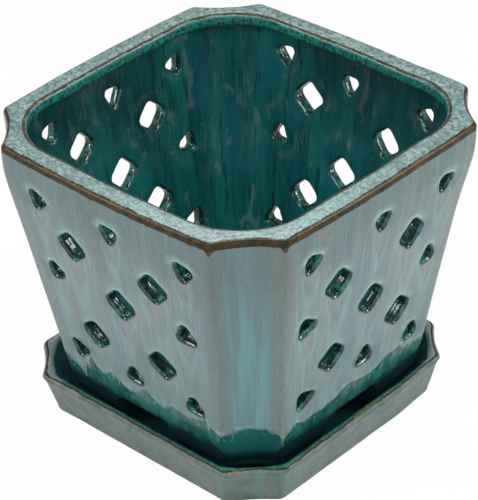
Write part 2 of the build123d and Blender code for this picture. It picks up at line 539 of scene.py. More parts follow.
hand = np.random.default_rng(slot_seed)
slots = []
for name in wall_names:
    places = zip(slot_kinds, slot_place_shares[name])
    slots.append([Slot(kind, turn, across, up, hand) for (kind, turn), (across, up) in places])


def fill(boundary, holes, grid, keep_off):
    """Triangles between a boundary and holes in it. A hole is its edge and rings of points round it."""
    loops = [boundary] + [hole[0] for hole in holes]
    edges = []
    start = 0
    for loop in loops:
        index = np.arange(start, start + len(loop))
        edges += list(zip(index.tolist(), np.roll(index, -1).tolist()))
        start += len(loop)
    low, high = boundary.min(0), boundary.max(0)
    rings = np.vstack([np.empty((0, 2))] + [ring for hole in holes for ring in hole[1:]])
    rings = rings[np.all((rings > low + ring_margin) & (rings < high - ring_margin), axis=1)]
    rise = grid * sqrt(3) / 2
    inner = []
    for number, y in enumerate(np.arange(low[1] + rise * 0.8, high[1] - rise * 0.4, rise)):
        x = np.arange(low[0] + grid * (0.6 + 0.5 * (number % 2)), high[0] - grid * 0.5, grid)
        inner.append(np.column_stack((x, np.full(len(x), y))))
    inner = np.vstack(inner)
    places = np.vstack((*loops, rings, inner[keep_off(inner)]))
    out = geometry.delaunay_2d_cdt([Vector(p) for p in places.tolist()], edges, [], 0, 1e-7)
    found = places[[sources[0] for sources in out[3]]]
    faces = np.array(out[2])
    middle = found[faces].mean(1)
    keep = inside_polygon(middle, boundary)
    for hole in holes:
        keep &= ~inside_polygon(middle, hole[0])
    return found, faces[keep]


def inside_polygon(points, loop):
    """Whether each point is inside the loop."""
    inside = np.zeros(len(points), bool)
    for a, b in zip(loop, np.roll(loop, -1, axis=0)):
        cross = (a[1] > points[:, 1]) != (b[1] > points[:, 1])
        rise = b[1] - a[1] if b[1] != a[1] else 1e-12
        inside ^= cross & (points[:, 0] < (b[0] - a[0]) * (points[:, 1] - a[1]) / rise + a[0])
    return inside


class Skin:
    """Patches of points, faces and values per point, joined into one mesh."""

    plain_values = {"profile": 0.0, "depth": -60.0, "smear": 0.0, "rise": 0.0}

    def __init__(self):
        self.points, self.faces, self.flow = [], [], []
        self.values = {name: [] for name in self.plain_values}
        self.count = 0

    def add(self, points, faces, flow, **values):
        """A patch. flow is where each point's glaze ran down from, on the outline at the rim."""
        self.points.append(points)
        self.faces += (faces + self.count).tolist()
        self.flow.append(flow)
        for name, plain in self.plain_values.items():
            self.values[name].append(np.broadcast_to(values.get(name, plain), len(points)))
        self.count += len(points)

    def rows(self, rows):
        """Quads between closed rows of as many points. A row is a dict of points, flow and values."""
        length = len(rows[0]["points"])
        across = np.arange(length)
        beside = (across + 1) % length
        faces = []
        for k in range(len(rows) - 1):
            low, high = k * length, (k + 1) * length
            faces.append(np.column_stack((across + low, beside + low, beside + high, across + high)))
        joined = {
            key: np.concatenate([np.broadcast_to(row.get(key, plain), length) for row in rows])
            for key, plain in self.plain_values.items()
        }
        points = np.vstack([row["points"] for row in rows])
        flow = np.vstack([row["flow"] for row in rows])
        self.add(points, np.vstack(faces), flow, **joined)

    def mesh(self, name, relief, warps):
        """The joined mesh, in metres. relief gives how far each point stands out, in mm."""
        points = warped(np.vstack(self.points), warps)
        data = bpy.data.meshes.new(name)
        values = {key: np.concatenate(parts) for key, parts in self.values.items()}
        flow = np.vstack(self.flow)
        values["pale"] = flow[:, 2] - pale_edge(flow)
        values["level"] = flow[:, 2]
        values["corner"] = np.abs(flow[:, :2]).min(1)
        values["forward"] = flow[:, 0] - flow[:, 1]
        data.from_pydata((points * metres).tolist(), [], self.faces)
        for key, value in values.items():
            data.attributes.new(key, "FLOAT", "POINT").data.foreach_set("value", value.astype(np.float32))
        grain = data.attributes.new("flow", "FLOAT_VECTOR", "POINT").data
        grain.foreach_set("vector", flow.astype(np.float32).ravel())
        work = bmesh.new()
        work.from_mesh(data)
        bmesh.ops.remove_doubles(work, verts=work.verts, dist=merge_distance * metres)
        bmesh.ops.recalc_face_normals(work, faces=work.faces)
        for face in work.faces:
            face.smooth = True
        work.to_mesh(data)
        work.free()
        joined = {key: read_array(data.attributes[key].data, "value", 1, np.float32)[:, 0] for key in values}
        flow = read_array(data.attributes["flow"].data, "vector", 3, np.float32)
        out = relief(flow, joined)[:, None] * metres
        places = read_array(data.vertices, "co", 3) + read_array(data.vertices, "normal", 3) * out
        data.vertices.foreach_set("co", places.ravel())
        data.update()
        return data


def read_array(items, name, width, kind=float):
    """A value of every item, one row each."""
    values = np.empty(len(items) * width, kind)
    items.foreach_get(name, values)
    return values.reshape(-1, width)


def warped(points, warps):
    """The points, with their corners drawn out or in."""
    for signs, move, start, low, high in warps:
        diagonal = np.array((*signs, 0)) / sqrt(2)
        reach = points @ diagonal
        share = smooth((reach - reach.max() + start) / start) * smooth((points[:, 2] - low) / (high - low))
        points = points + (move * share)[:, None] * diagonal
    return points


def uneven(flow, width, length, seed):
    """Soft unevenness from -1 to 1, with hollows and swells of about that width and length in mm."""
    scaled = flow * np.array((1 / width, 1 / width, 1 / length)) + seed * 17.3
    return np.array([noise.noise(Vector(place)) for place in scaled.tolist()])


def swells(flow, kinds):
    """Sum of kinds of unevenness, in mm."""
    return sum(height * uneven(flow, width, length, seed) for height, width, length, seed in kinds)


def pale_edge(flow):
    """Level of the pale glaze's lower edge at places on the outline."""
    level = np.zeros(len(flow))
    nearest = np.full(len(flow), -np.inf)
    for side, name in enumerate(wall_names):
        turn = pi / 2 * side
        w = flow[:, 0] * cos(turn) + flow[:, 1] * sin(turn)
        u = flow[:, 1] * cos(turn) - flow[:, 0] * sin(turn)
        across, height = np.array(pale_edges[name]).T
        step = np.clip(np.searchsorted(across, u) - 1, 0, len(across) - 2)
        share = smooth((u - across[step]) / (across[step + 1] - across[step]))
        here = height[step] * (1 - share) + height[step + 1] * share
        level = np.where(w > nearest, here, level)
        nearest = np.maximum(w, nearest)
    return level


def in_place(row):
    """The row, with its glaze's grain where its points are."""
    return {**row, "flow": row["points"]}


def row_between(first, second, share, level=None, **values):
    """A row between two others, at its own level if it has one."""
    points = first["points"] * (1 - share) + second["points"] * share
    if level is not None:
        points[:, 2] = level
    flow = first["flow"].copy()
    flow[:, 2] = points[:, 2]
    return {"points": points, "flow": flow, **values}


def drawn_in(row, scale, level, profile):
    """A copy of a row, drawn in towards the middle, at its own level."""
    points = row["points"] * scale
    points[:, 2] = level
    return {**row, "points": points, "profile": profile}


def round_over(count, size=1.0):
    """Distances in and down along a quarter circle, from its upright end to its flat end."""
    angle = np.linspace(0, pi / 2, count)
    return list(zip(size * (1 - np.cos(angle)), size * (1 - np.sin(angle))))


def add_flat(skin, boundary, holes, level, profile, clear=-1.0):
    """A flat face inside a boundary, with its inner points further out than clear."""
    boundary = boundary[:, :2]

    def off_edges(p):
        gap = np.min(np.linalg.norm(p[:, None] - boundary[None, ::3], axis=2), axis=1)
        off = (gap > floor_grid * 0.5) & inside_polygon(p, boundary)
        return off & (np.linalg.norm(p, axis=1) > clear)

    found, faces = fill(boundary, holes, floor_grid, off_edges)
    points = np.column_stack((found, np.full(len(found), level)))
    skin.add(points, faces, points, profile=profile)


def wall_profile(face, level):
    """Distance along the profile: below zero down the outer face, above it over the rim and down inside."""
    return level - rim_level if face == "outer" else rim_width + rim_level - level


def foot_boundary():
    """The foot's lower edge on half a side: across, level, way into the clay, share of its last run."""
    arch_level = foot_level + notch_height
    round_level = arch_level - notch_round
    rows = [(u, arch_level, 0, 1, 0) for u in np.linspace(0, notch_half - notch_round, 8)[:-1]]
    for a in np.linspace(0, pi / 2, 7)[:-1]:
        u = notch_half - notch_round + notch_round * sin(a)
        rows.append((u, round_level + notch_round * cos(a), sin(a), cos(a), 0))
    for z in np.linspace(round_level, foot_level + notch_foot_round, 5)[:-1]:
        rows.append((notch_half, z, 1, 0, 0))
    for a in np.linspace(0, pi / 2, 5)[:-1]:
        u = notch_half + notch_foot_round * (1 - cos(a))
        rows.append((u, foot_level + notch_foot_round * (1 - sin(a)), cos(a), sin(a), 0))
    for share in np.linspace(0, 1, half_steps + 1 - len(rows)):
        rows.append((notch_half + notch_foot_round, foot_level, 0, 1, share))
    return np.array(rows).T


edge_u, edge_z, edge_out_u, edge_out_z, edge_share = foot_boundary()


def foot_edge(shell, offset):
    """Levels and runs of the foot's lower edge on one face, moved into the clay by offset."""
    level = edge_z + offset * edge_out_z
    run = shell.run_at(edge_u + offset * edge_out_u, level)
    return level, run + edge_share * (shell.outline.length - run)


def rows_from_foot(shell, offset, top, shares):
    """Rows from the foot's lower edge up to a level, where they are even."""
    level, run = foot_edge(shell, offset)
    return [shell.row(level + t * (top - level), run + t * (shell.run - run)) for t in shares]


def add_foot_ring(skin):
    """The foot ring's lower face, with the reveals of its notches."""
    ring = [(rise, 0, inset) for inset, rise in round_over(5, foot_outer_round)]
    ring += [(0, share, 0) for share in foot_face_shares]
    ring += [(rise, 1, -inset) for inset, rise in reversed(round_over(4, foot_inner_round))]
    rows = []
    for offset, share, further in ring:
        outer = outer_shell.row(*foot_edge(outer_shell, offset))
        inner = hollow_shell.row(*foot_edge(hollow_shell, offset))
        reach = np.linalg.norm(inner["points"] - outer["points"], axis=1)
        share = (share + further / reach)[:, None]
        rows.append(row_between(outer, inner, share, profile=foot_face_zone - 10 * share[:, 0]))
    rows[0]["profile"] = wall_profile("outer", rows[0]["points"][:, 2])
    skin.rows(rows)


def add_floor(skin):
    """The hollow under the floor, the drain hole and the floor's two faces."""
    rows = rows_from_foot(hollow_shell, foot_inner_round, underside_level - hollow_round, hollow_shares)
    for row in rows:
        row["profile"] = hollow_zone
    rows[0]["profile"] = hollow_edge_zone
    flat = rows[-1:]
    for inset, drop in hollow_round_rows:
        scale = 1 - inset / foot_hollow_half
        flat.append(drawn_in(rows[-1], scale, underside_level - drop, underside_zones[0]))
    skin.rows(rows)
    skin.rows(flat)

    angle = np.linspace(0, 2 * pi, drain_points + 1)[:-1]
    circle = np.column_stack((np.cos(angle), np.sin(angle)))
    bore = [(out, underside_level + rise) for rise, out in round_over(4, drain_round)]
    bore += [(out, floor_level - drop) for drop, out in reversed(round_over(4, drain_round))]
    rows = []
    for out, level in bore:
        points = np.column_stack((circle * (drain_radius + out), np.full(len(circle), level)))
        rows.append({"points": points, "flow": points, "profile": drain_zone})
    skin.rows(rows)

    low = floor_level + floor_round
    floor_edge = inner_shell.row(low)["points"] * (1 - floor_round / (cavity_half * inner_share(low)))
    mouth = drain_radius + drain_round
    holes = [[circle * mouth * spread for spread in drain_ring_spreads]]
    clear = mouth * drain_clear_spread
    add_flat(skin, flat[-1]["points"], holes, underside_level, underside_zones[1], clear)
    add_flat(skin, floor_edge, holes, floor_level, floor_zone, clear)


def mouth_row(spread, level, profile):
    """A level row round the pot's mouth."""
    return level_row(mouth_outline, pot_outline.shares, 1 + spread / mouth_half, level, profile)


def add_rim(skin):
    """The rim: outer edge, crown, inner edge, lip and the step back under it."""
    rows = []
    for level in (seams["outer"][1], *rim_wall_levels, rim_level - rim_edge_round):
        rows.append(outer_shell.row(level, profile=wall_profile("outer", level)))
    edge = rows[-1]
    for inset, drop in round_over(6, rim_edge_round)[1:]:
        rows.append(drawn_in(edge, 1 - inset / rim_half, rim_level - drop, inset - rim_edge_round))
    outer_edge = rows[-1]
    top_width = rim_width - mouth_edge_round
    inner_edge = mouth_row(mouth_edge_round, rim_level, top_width)
    for share in rim_top_shares:
        level = rim_level + rim_crown * (4 * share * (1 - share)) - rim_crown
        rows.append(row_between(outer_edge, inner_edge, share, level, profile=share * top_width))
    for inset, drop in reversed(round_over(5, mouth_edge_round)):
        rows.append(mouth_row(inset, rim_level - rim_crown - drop, rim_width + drop))
    for spread, level in lip_rows:
        rows.append(mouth_row(spread, level, wall_profile("inner", level)))
    under = inner_shell.row(under_lip_levels[0], profile=under_lip_profile)
    rows.append(row_between(rows[-1], under, lip_step_share, lip_step_level, profile=lip_step_profile))
    rows = [in_place(row) for row in rows] + [under]
    for level in (under_lip_levels[1], seams["inner"][1]):
        rows.append(inner_shell.row(level, profile=wall_profile("inner", level)))
    skin.rows(rows)


def build_pot():
    """The pot's mesh."""
    skin = Skin()
    add_foot_ring(skin)
    add_floor(skin)

    # Outer wall below the sheets with the slots
    rows = rows_from_foot(outer_shell, foot_outer_round, seams["outer"][0], foot_wall_shares)
    for row in rows:
        row["profile"] = wall_profile("outer", row["points"][:, 2])
    skin.rows(rows)
    add_rim(skin)

    # Cavity's rounded lower edge
    level = seams["inner"][0]
    rows = [inner_shell.row(level, profile=wall_profile("inner", level))]
    base_level = floor_level + floor_round
    base = inner_shell.row(base_level)
    half = cavity_half * inner_share(base_level)
    for inset, rise in round_over(7, floor_round):
        level = floor_level + rise
        rows.append(drawn_in(base, 1 - inset / half, level, wall_profile("inner", level)))
    skin.rows(rows)

    for side, wall_slots in enumerate(slots):
        for face in wall_shells:
            add_wall(skin, side, wall_slots, face)
        for slot in wall_slots:
            add_reveal(skin, side, slot)
    return skin


def dented(points, gap, face, side):
    """Points of a wall's face, pressed in round a slot. The dents fade out where the sheet ends."""
    low, high = seams[face]
    level = points[:, 2]
    fade = smooth((level - low) / dimple_fade) * smooth((high - level) / dimple_fade)
    move = dimple_moves[face] * fade * np.exp(-((np.maximum(gap, 0) / dimple_reach) ** 2))
    outward = turned(side, np.array([0.0]), np.array([cos(lean_angle)]), -sin(lean_angle))[0]
    return points + move[:, None] * outward


def add_wall(skin, side, wall_slots, face):
    """One wall's outer or inner sheet, with its slots' holes."""
    shell = wall_shells[face]
    grid = grids[face]
    low, high = seams[face]
    runs = np.concatenate((-shell.run[:0:-1], shell.run))
    levels = np.linspace(low, high, seam_rows + 1)
    across = (runs, np.full(seam_rows - 1, runs[-1]), runs[::-1], np.full(seam_rows - 1, runs[0]))
    up = (np.full(len(runs), low), levels[1:-1], np.full(len(runs), high), levels[-2:0:-1])
    boundary = np.column_stack((np.concatenate(across), np.concatenate(up)))
    holes = []
    for slot in wall_slots:
        rings = []
        for offset in ring_offsets:
            u, z = slot.contour(slot.widths[face] + offset, face)
            rings.append(np.column_stack((shell.run_at(u, z), z)))
        holes.append(rings)

    def off_holes(p):
        u, _, z = shell.place(p[:, 0], p[:, 1])
        clear = ring_offsets[-1] + grid * 0.6
        return np.all([slot.gap(u, z, face) > clear for slot in wall_slots], axis=0)

    found, faces = fill(boundary, holes, grid, off_holes)
    found[:, 0] = np.clip(found[:, 0], runs[0], runs[-1])
    u, w, z = shell.place(found[:, 0], found[:, 1])
    gap = np.full(len(found), -Skin.plain_values["depth"])
    smear = np.zeros(len(found))
    rise = np.zeros(len(found))
    for slot in wall_slots:
        below = slot.levels[face] - z
        this_gap = slot.gap(u, z, face)
        rise = np.where(this_gap < gap, np.clip(-below / slot.reach, -rise_limit, rise_limit), rise)
        gap = np.minimum(gap, this_gap)
        trail = np.exp(-(((u - slot.u) / slot.reach * smear_narrowness) ** 2))
        trail *= smooth((below - smear_start * slot.reach) / smear_blend)
        trail *= np.exp(-np.maximum(below - slot.reach, 0) / slot.reach / smear_fade)
        smear = np.maximum(smear, trail)
    points = dented(turned(side, u, w, z), gap, face, side)
    u, w = pot_outline.at(found[:, 0] * (pot_outline.length / shell.outline.length))
    flow = turned(side, u, w, z)
    skin.add(points, faces, flow, profile=wall_profile(face, z), depth=-gap, smear=smear, rise=rise)


def add_reveal(skin, side, slot):
    """The inside of a slot, from the outer face of the wall to the inner one, with rounded edges."""
    middle_level = (slot.levels["outer"] + slot.levels["inner"]) / 2
    scale = rim_half / wall_line(slot.levels["outer"])
    rows = []
    for share in np.linspace(0, 1, 2 * reveal_rows + 1):
        near = "outer" if share < 0.5 else "inner"
        flare = abs(1 - 2 * share) ** reveal_power
        offset = slot.middle_width + (slot.widths[near] - slot.middle_width) * flare
        ends = []
        for face, shell in wall_shells.items():
            u, z = slot.contour(offset, face)
            ends.append(dented(turned(side, *shell.place(shell.run_at(u, z), z)), 0, face, side))
        points = ends[0] * (1 - share) + ends[1] * share
        level = points[:, 2]
        rows.append({
            "points": points,
            "flow": points * np.array((scale, scale, 1)),
            "profile": wall_profile(near, level),
            "depth": min(share, 1 - share) * np.linalg.norm(ends[1] - ends[0], axis=1),
            "rise": (level - middle_level) / slot.reach,
        })
    skin.rows(rows)


def pot_relief(flow, values):
    """The pot's unevenness: swells of hand-pressed clay, runs of thick glaze and its rolled lower edge."""
    profile, corner = values["profile"], values["corner"]
    walls = smooth((-profile - outer_relief_start) / relief_blend) * (profile > foot_start)
    inside = smooth((profile - rim_width - inner_relief_start) / relief_blend) * (profile < floor_start)
    out = swells(flow, pot_swells) + walls * swells(flow, outer_swells) + inside * swells(flow, inner_swells)
    at_corner = smooth((corner - corner_roll_start) / relief_blend)
    broken = smooth(0.5 + 1.2 * uneven(flow, *corner_roll_grain))
    for (height, above, width), share in ((glaze_roll, 1), (corner_roll, at_corner * broken)):
        out += height * np.exp(-(((values["pale"] - above) / width) ** 2)) * walls * share
    on_rim = (profile > -0.5) * (profile < rim_width)
    return out * (1 - np.clip(on_rim * rim_stillness + (profile < foot_start), 0, 1))


def build_saucer():
    """The saucer's mesh."""
    dish_half = saucer_half - saucer_rim_width
    outer = CutOutline(saucer_half, saucer_cut, 0, saucer_scoop, saucer_ear_round)
    inner = CutOutline(dish_half, dish_cut, 0, -dish_corner_bulge, saucer_ear_round)

    def outside(half, level, profile):
        return level_row(outer, outer.shares, half / saucer_half, level, profile)

    def inside(half, level, profile):
        return level_row(inner, outer.shares, half / dish_half, level, profile)

    base = saucer_base_half - saucer_edge_inset
    rows = [outside(base + move, level, saucer_base_zones[0]) for move, level in saucer_base_rows]
    for t in np.linspace(0, 1, 6)[1:]:
        half = base - 1 + (saucer_edge_inset + 1) * sin(pi / 2 * t) ** saucer_edge_power
        level = saucer_edge_height * (1 - cos(pi / 2 * t))
        rows.append(outside(half, level, level - saucer_height))
    for level in saucer_wall_levels:
        rise = (level - saucer_edge_height) / (saucer_height - saucer_edge_height)
        half = saucer_base_half + (saucer_half - saucer_base_half) * rise
        rows.append(outside(half, level, level - saucer_height))
    for inset, drop in round_over(7, saucer_rim_round):
        rows.append(outside(saucer_half - inset, saucer_height - drop, inset - saucer_rim_round))
    top = rows[-1]
    mouth = []
    for move, drop, profile in saucer_mouth_rows:
        mouth.append(inside(dish_half + move, saucer_height - drop, profile))
    for share, drop in saucer_top_rows:
        level = saucer_height - drop
        rows.append(row_between(top, mouth[0], share, level, profile=saucer_mouth_rows[0][2] * share))
    rows += mouth
    for level in dish_wall_levels:
        half = dish_floor_half + (dish_half - dish_floor_half) * (level - dish_low) / dish_rise
        rows.append(inside(half, level, profile + saucer_height - level))
    for inset, drop in round_over(6):
        half = dish_floor_half - dish_floor_round * inset
        rows.append(inside(half, saucer_floor + dish_edge_height * drop, dish_zones[0]))
    skin = Skin()
    skin.rows(rows)
    add_flat(skin, rows[-1]["points"], [], saucer_floor, dish_zones[1])
    add_flat(skin, rows[0]["points"], [], saucer_base_rows[0][1], saucer_base_zones[1])
    return skin


def saucer_relief(flow, values):
    """The saucer's unevenness, none under its base."""
    return swells(flow, saucer_swells) * (values["profile"] > -22)


def placed(name, data):
    """A new object of the scene."""
    item = bpy.data.objects.new(name, data)
    bpy.context.scene.collection.objects.link(item)
    return item


pot = placed("pot_glazed", build_pot().mesh("pot_glazed", pot_relief, pot_warps))
saucer = placed("saucer_glazed", build_saucer().mesh("saucer_glazed", saucer_relief, saucer_warps))
for piece, node, glaze in ((pot, "pot", "pot_glaze"), (saucer, "saucer", "saucer_glaze")):
    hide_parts(node)
    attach(piece, node)


def tint(colour):
    """Linear colour from screen values of 0 to 255."""
    parts = [v / 255 for v in colour]
    return tuple(v / 12.92 if v <= 0.04045 else ((v + 0.055) / 1.055) ** 2.4 for v in parts) + (1.0,)


class Look:
    """A material, with short calls for its nodes."""

    def __init__(self, name):
        self.material = bpy.data.materials.new(name)
        self.material.use_nodes = True
        self.tree = self.material.node_tree
        self.shader = self.tree.nodes["Principled BSDF"]

    def node(self, kind, **settings):
        node = self.tree.nodes.new("ShaderNode" + kind)
        for key, value in settings.items():
            setattr(node, key, value)
        return node

    def plug(self, socket, value):
        """Sets a socket to a value, or links it to another node's output."""
        if isinstance(value, bpy.types.NodeSocket):
            self.tree.links.new(value, socket)
        else:
            socket.default_value = value

    def attribute(self, name, output="Fac"):
        return self.node("Attribute", attribute_name=name).outputs[output]

    def attributes(self, *names):
        return [self.attribute(name) for name in names]

    def math(self, operation, *values):
        """The values joined two by two."""
        out = values[0]
        for value in values[1:]:
            node = self.node("Math", operation=operation)
            self.plug(node.inputs[0], out)
            self.plug(node.inputs[1], value)
            out = node.outputs[0]
        return out

    def times(self, *values):
        return self.math("MULTIPLY", *values)

    def plus(self, *values):
        return self.math("ADD", *values)

    def ramp(self, value, start, end, low=0.0, high=1.0):
        """Smooth step from low at start to high at end."""
        node = self.node("MapRange", interpolation_type="SMOOTHSTEP")
        for index, part in enumerate((value, start, end, low, high)):
            self.plug(node.inputs[index], part)
        return node.outputs["Result"]

    def band(self, value, start, end, soft):
        """1 between start and end, with soft edges."""
        risen = self.ramp(value, start - soft, start + soft)
        return self.times(risen, self.ramp(value, end + soft, end - soft))

    def noise(self, width, length, detail, shift, roughness=0.6, distortion=0.0):
        """Noise drawn out along the glaze's run: its grain is width across and length down, in mm."""
        scaled = self.node("Mapping", vector_type="POINT")
        self.plug(scaled.inputs["Vector"], self.attribute("flow", "Vector"))
        scaled.inputs["Scale"].default_value = (1 / width, 1 / width, 1 / length)
        scaled.inputs["Location"].default_value = (shift * 7.3, shift * 3.1, shift * 5.7)
        node = self.node("TexNoise")
        self.plug(node.inputs["Vector"], scaled.outputs[0])
        settings = {"Scale": 1.0, "Detail": detail, "Roughness": roughness, "Distortion": distortion}
        for name, value in settings.items():
            node.inputs[name].default_value = value
        return node.outputs[0]

    def wander(self, width, length, shift):
        """Noise round zero, by which the edge of a glaze wanders."""
        return self.plus(self.noise(width, length, 3, shift), -0.5)

    def patches(self, noise, start, end, high=1.0):
        """Where noise lies above a threshold that is soft from start to end."""
        return self.ramp(self.noise(*noise), start, end, 0.0, high)

    def over(self, colour, *layers):
        """Layers over a colour, each a colour and its share. A colour is an output or screen values."""
        for layer, share in layers:
            node = self.node("Mix", data_type="RGBA", clamp_factor=True)
            self.plug(node.inputs[0], share)
            self.plug(node.inputs[6], tint(colour) if isinstance(colour, tuple) else colour)
            self.plug(node.inputs[7], tint(layer) if isinstance(layer, tuple) else layer)
            colour = node.outputs[2]
        return colour

    def bump(self, height, depth, strength):
        """Relief of the surface. depth is in mm."""
        node = self.node("Bump")
        self.plug(node.inputs["Height"], height)
        node.inputs["Distance"].default_value = depth * metres
        node.inputs["Strength"].default_value = strength
        self.plug(self.shader.inputs["Normal"], node.outputs[0])


def pale_glaze(look):
    """Grey-blue glaze of the pot's walls, streaked downwards."""
    profile, depth, rise, corner, smear = look.attributes("profile", "depth", "rise", "corner", "smear")
    near_rim = look.ramp(profile, -60, -6, 0.15, 0.8)
    colour = look.over(
        (98, 124, 130),
        ((112, 134, 132), look.patches((15, 150, 2, 0), 0.4, 0.6)),
        ((110, 112, 110), look.patches((5, 80, 3, 1), 0.48, 0.66, 0.6)),
        ((116, 160, 166), look.patches((3.4, 60, 4, 2, 0.7), 0.54, 0.68, 0.55)),
        ((76, 102, 104), look.patches((1.3, 30, 4, 3, 0.7), 0.5, 0.68, 0.35)),
        ((78, 98, 96), look.times(look.ramp(profile, -50, -4), 0.5)),
        ((64, 76, 78), look.times(look.patches((0.6, 4.5, 3, 4, 0.7), 0.54, 0.7), near_rim)),
    )

    # Round the slots: a greyer run below with paler edges, and painted highlights above: a pale crescent and
    # a thin lit line along the edge
    drift = look.times(look.wander(5, 26, 5), look.ramp(smear, 0.02, 0.3, 0, 1.1))
    run = look.plus(smear, drift)
    painted_highlight_crescent = look.times(look.ramp(depth, -5.5, -0.8), look.ramp(rise, 0.15, 0.9), 0.55)
    broken = look.patches((5, 5, 2, 25), 0.4, 0.6)
    lit_edge = look.times(look.band(depth, -1.3, -0.3, 0.4), look.ramp(rise, 0.25, 0.8), broken, 0.6)
    colour = look.over(
        colour,
        ((136, 130, 132), look.ramp(run, 0.35, 0.9, 0, 0.65)),
        ((140, 184, 184), look.times(look.band(run, 0.12, 0.3, 0.1), 0.22)),
        ((120, 164, 160), painted_highlight_crescent),
        ((156, 198, 190), lit_edge),
    )

    # Greener low on the walls. Corners: bluer in the scoop, brown specks on the ridges at its sides
    below_rim = look.ramp(profile, -10, -62, 0.25, 1.0)
    sky = look.times(look.patches((5, 90, 4, 24), 0.46, 0.62), look.ramp(corner, 65, 69), 0.65)
    specks = look.patches((0.8, 3.0, 4, 23, 0.75), 0.36, 0.64)
    return look.over(
        colour,
        ((74, 112, 112), look.ramp(profile, -70, -112, 0, 0.4)),
        ((92, 132, 138), look.times(look.ramp(corner, 63, 68), below_rim, 0.65)),
        ((106, 158, 168), look.times(sky, below_rim)),
        ((104, 106, 94), look.times(specks, look.band(corner, 58.5, 66, 3), 0.75)),
    )


def teal_glaze(look):
    """Deep teal glaze, where the pale one ends, inside the pot and in the saucer's dish."""
    return look.over(
        (22, 98, 104),
        ((24, 112, 106), look.patches((11, 110, 3, 6), 0.42, 0.62)),
        ((14, 46, 56), look.patches((6, 50, 4, 7, 0.7), 0.5, 0.66, 0.8)),
        ((36, 122, 130), look.patches((2.2, 40, 4, 8, 0.7), 0.54, 0.7, 0.5)),
        ((34, 130, 108), look.patches((1.0, 26, 4, 9, 0.7), 0.56, 0.72, 0.5)),
    )


def inside_glaze(look, teal):
    """The teal glaze inside the pot: dark patches, pale smudges that are painted reflections and partly pale
    glaze, painted shade under the lip of the far walls.
    """
    profile, forward = look.attributes("profile", "forward")
    far_walls = look.times(look.ramp(forward, 30, -30), look.ramp(forward, -150, -100, 0.45, 1.0))
    # painted shade under the rim's lip, on the far walls
    painted_shade_under_lip = look.times(look.ramp(profile, 90, 25), far_walls)
    return look.over(
        teal,
        ((12, 38, 42), look.patches((20, 90, 3, 40, 0.6, 0.6), 0.46, 0.62, 0.35)),
        # pale smudges: painted reflections, partly pale glaze
        ((128, 140, 146), look.patches((9, 16, 2, 45, 0.5, 1.0), 0.6, 0.72, 0.35)),
        ((14, 38, 42), look.times(painted_shade_under_lip, 0.8)),
    )


def band_glaze(look, teal, edge, wobble):
    """Teal below the pale glaze, then navy down to the foot as painted shade of the trough between pot and
    saucer, with a few paler runs at its top.
    """
    level, corner = look.attributes("level", "corner")
    bright = look.over(
        (26, 78, 74),
        ((40, 104, 94), look.patches((8, 14, 3, 26), 0.42, 0.6)),
        (teal, look.patches((3, 22, 3, 44), 0.5, 0.66, 0.35)),
        ((32, 98, 102), look.ramp(corner, 61, 67, 0, 0.75)),
    )
    # level above which the teal glaze shows over the navy painted shade, lower at the corners
    height = look.plus(level, look.times(wobble, 5), look.ramp(corner, 60, 67, 0, 6))
    runs = look.times(look.patches((3.2, 7, 3, 27), 0.56, 0.64), look.ramp(edge, -6, -2), 0.6)
    return look.over((22, 44, 52), (bright, look.ramp(height, 25.5, 31)), ((112, 158, 150), runs))


def rim_glaze(look, line):
    """Pale turquoise with grey-violet specks, of the rim's top. It is palest towards the front corner, where
    its outer edge carries a painted highlight.
    """
    forward = look.attribute("forward")
    specks = look.patches((2.0, 2.0, 4, 11, 0.7, 0.8), 0.47, 0.56)
    # painted highlight along the rounded outer edge at the front corner
    painted_highlight_front_edge = look.times(look.band(line, -1.6, 0.6, 0.5), look.ramp(forward, 145, 150), 0.8)
    return look.over(
        (116, 144, 140),
        ((138, 164, 160), look.patches((6, 6, 3, 10), 0.4, 0.6)),
        ((152, 178, 176), look.ramp(forward, 60, 130, 0, 0.9)),
        ((76, 94, 98), look.times(specks, look.ramp(forward, 20, 120, 0.9, 0.6))),
        ((62, 112, 102), look.patches((1.0, 1.0, 3, 12, 0.7), 0.56, 0.66, 0.7)),
        ((196, 208, 204), painted_highlight_front_edge),
    )


def amber_glaze(look, shift):
    """Olive brown to amber, where the glaze runs thin over an edge."""
    return look.over(
        (62, 50, 28),
        ((42, 40, 27), look.patches((5, 5, 3, shift), 0.42, 0.6)),
        ((88, 62, 26), look.patches((6, 6, 2, shift + 14), 0.5, 0.64, 0.45)),
    )


def clay_body(look):
    """Bare fired clay."""
    return look.over(
        (150, 112, 84),
        ((128, 94, 70), look.patches((6, 6, 4, 20), 0.4, 0.6)),
        ((92, 66, 50), look.patches((0.8, 0.8, 3, 21), 0.6, 0.7, 0.7)),
    )


